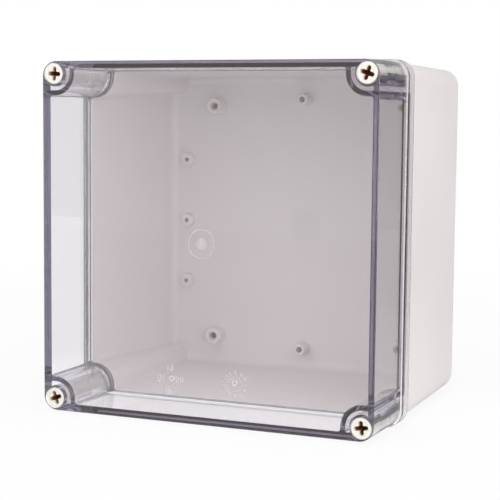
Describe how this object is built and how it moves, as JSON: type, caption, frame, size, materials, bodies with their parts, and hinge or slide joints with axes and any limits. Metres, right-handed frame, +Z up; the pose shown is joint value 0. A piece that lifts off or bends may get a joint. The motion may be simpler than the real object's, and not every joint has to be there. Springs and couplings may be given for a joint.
{
  "type": "plastic enclosure",
  "caption": "Square deep wall box with a high clear cover, held by corner screws, on an opaque base with a gasket and inner bosses for a mounting plate.",
  "frame": {"origin": "middle of the bottom of the box, on the surface that the cover's skirt stands on", "axes": "+Z up, +Y from the clear front to the back face, +X to the right as seen from the front"},
  "size_m": [0.18, 0.145, 0.18],
  "materials": {
    "base_plastic": "fine satin",
    "clear_plastic": "clear and polished",
    "gasket_rubber": "soft and dull",
    "screw_plastic": "ivory satin",
    "ring_plastic": "natural",
    "brass": "turned"
  },
  "bodies": {
    "base": {"base_shell": "base_plastic", "cover_gasket": "gasket_rubber", "screw_bush_top_left": "brass", "plate_insert_top_left": "brass", "screw_bush_top_right": "brass", "plate_insert_top_right": "brass", "screw_bush_bottom_left": "brass", "plate_insert_bottom_left": "brass", "screw_bush_bottom_right": "brass", "plate_insert_bottom_right": "brass"},
    "cover": {"clear_cover": "clear_plastic"},
    "ring_top_left": {"retaining_ring_top_left": "ring_plastic"},
    "screw_top_left": {"cover_screw_top_left": "screw_plastic"},
    "ring_top_right": {"retaining_ring_top_right": "ring_plastic"},
    "screw_top_right": {"cover_screw_top_right": "screw_plastic"},
    "ring_bottom_left": {"retaining_ring_bottom_left": "ring_plastic"},
    "screw_bottom_left": {"cover_screw_bottom_left": "screw_plastic"},
    "ring_bottom_right": {"retaining_ring_bottom_right": "ring_plastic"},
    "screw_bottom_right": {"cover_screw_bottom_right": "screw_plastic"}
  },
  "joints": [
    {"name": "cover_lift", "type": "slide", "parent": "base", "child": "cover", "axis": [0, -1, 0], "range_m": [0, 0.08]},
    {"name": "screw_travel_top_left", "type": "slide", "parent": "cover", "child": "ring_top_left", "axis": [0, -1, 0], "range_m": [0, 0.014]},
    {"name": "screw_turn_top_left", "type": "hinge", "parent": "ring_top_left", "child": "screw_top_left", "pos_m": [-0.0822, -0.0723, 0.1722], "axis": [0, -1, 0], "range_deg": [0, 2520]},
    {"name": "screw_travel_top_right", "type": "slide", "parent": "cover", "child": "ring_top_right", "axis": [0, -1, 0], "range_m": [0, 0.014]},
    {"name": "screw_turn_top_right", "type": "hinge", "parent": "ring_top_right", "child": "screw_top_right", "pos_m": [0.0822, -0.0723, 0.1722], "axis": [0, -1, 0], "range_deg": [0, 2520]},
    {"name": "screw_travel_bottom_left", "type": "slide", "parent": "cover", "child": "ring_bottom_left", "axis": [0, -1, 0], "range_m": [0, 0.014]},
    {"name": "screw_turn_bottom_left", "type": "hinge", "parent": "ring_bottom_left", "child": "screw_bottom_left", "pos_m": [-0.0822, -0.0723, 0.0078], "axis": [0, -1, 0], "range_deg": [0, 2520]},
    {"name": "screw_travel_bottom_right", "type": "slide", "parent": "cover", "child": "ring_bottom_right", "axis": [0, -1, 0], "range_m": [0, 0.014]},
    {"name": "screw_turn_bottom_right", "type": "hinge", "parent": "ring_bottom_right", "child": "screw_bottom_right", "pos_m": [0.0822, -0.0723, 0.0078], "axis": [0, -1, 0], "range_deg": [0, 2520]}
  ],
  "couplings": [
    {"joint": "screw_turn_top_left", "follows": "screw_travel_top_left", "rad_per_m": 3141.6},
    {"joint": "screw_turn_top_right", "follows": "screw_travel_top_right", "rad_per_m": 3141.6},
    {"joint": "screw_turn_bottom_left", "follows": "screw_travel_bottom_left", "rad_per_m": 3141.6},
    {"joint": "screw_turn_bottom_right", "follows": "screw_travel_bottom_right", "rad_per_m": 3141.6}
  ]
}
